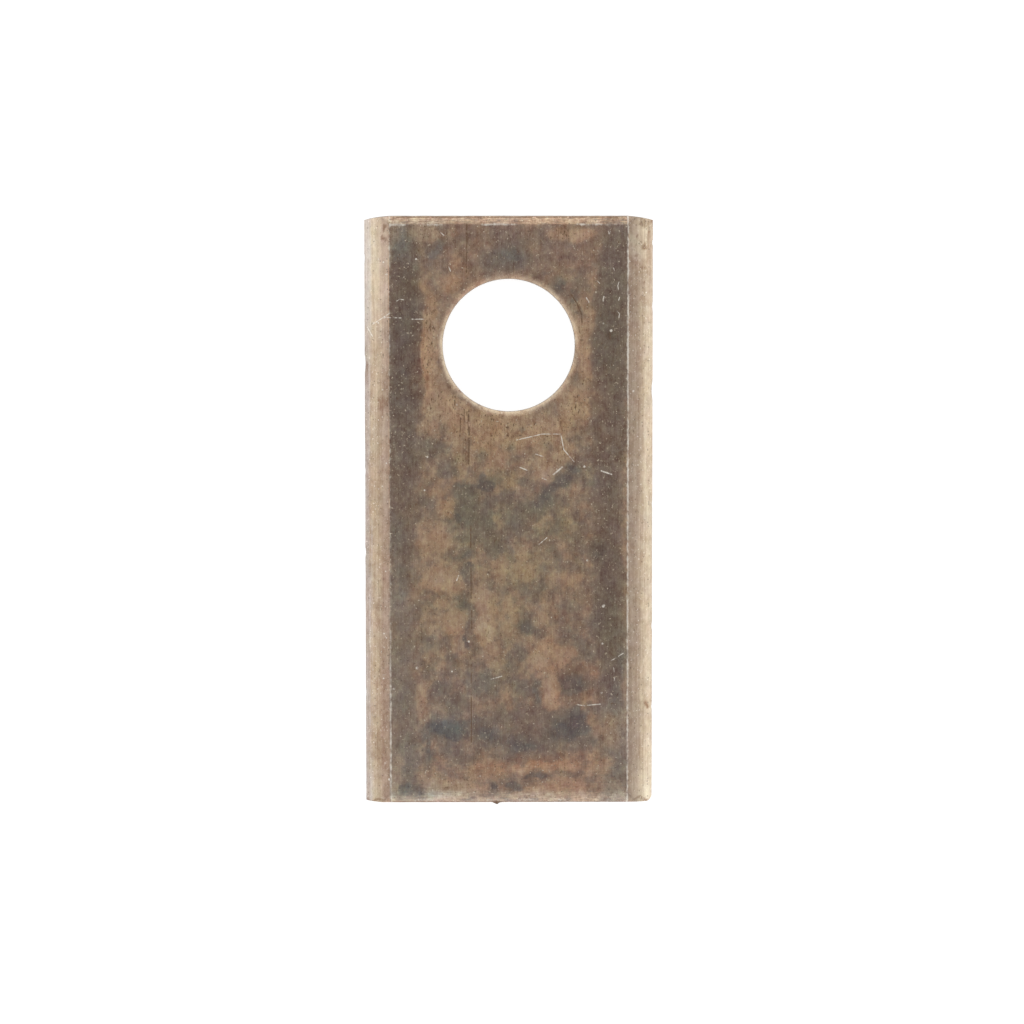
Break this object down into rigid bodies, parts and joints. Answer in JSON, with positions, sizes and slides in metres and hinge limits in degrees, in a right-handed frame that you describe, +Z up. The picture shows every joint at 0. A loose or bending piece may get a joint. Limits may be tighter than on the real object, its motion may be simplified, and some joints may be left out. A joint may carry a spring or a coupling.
{
  "type": "rotary mower blade",
  "caption": "Flat oblong steel mowing knife with a rounded bevel along both long sides and a round punched pivot hole near one end; swings on a pin to cut grass.",
  "frame": {"origin": "centre of the pivot hole, on the flat underside", "axes": "+Z up through the bevelled face along the hole's axis, +Y along the blade towards the near end, which is the one by the hole, +X across the blade"},
  "size_m": [0.048, 0.098, 0.004],
  "materials": {
    "steel": "bare heat-treated spring steel, brown-grey oil film with darker stains and straw tints, satin grain along the blade, brighter worn bevels and edges"
  },
  "bodies": {
    "root": {"blade": "steel"}
  },
  "joints": []
}
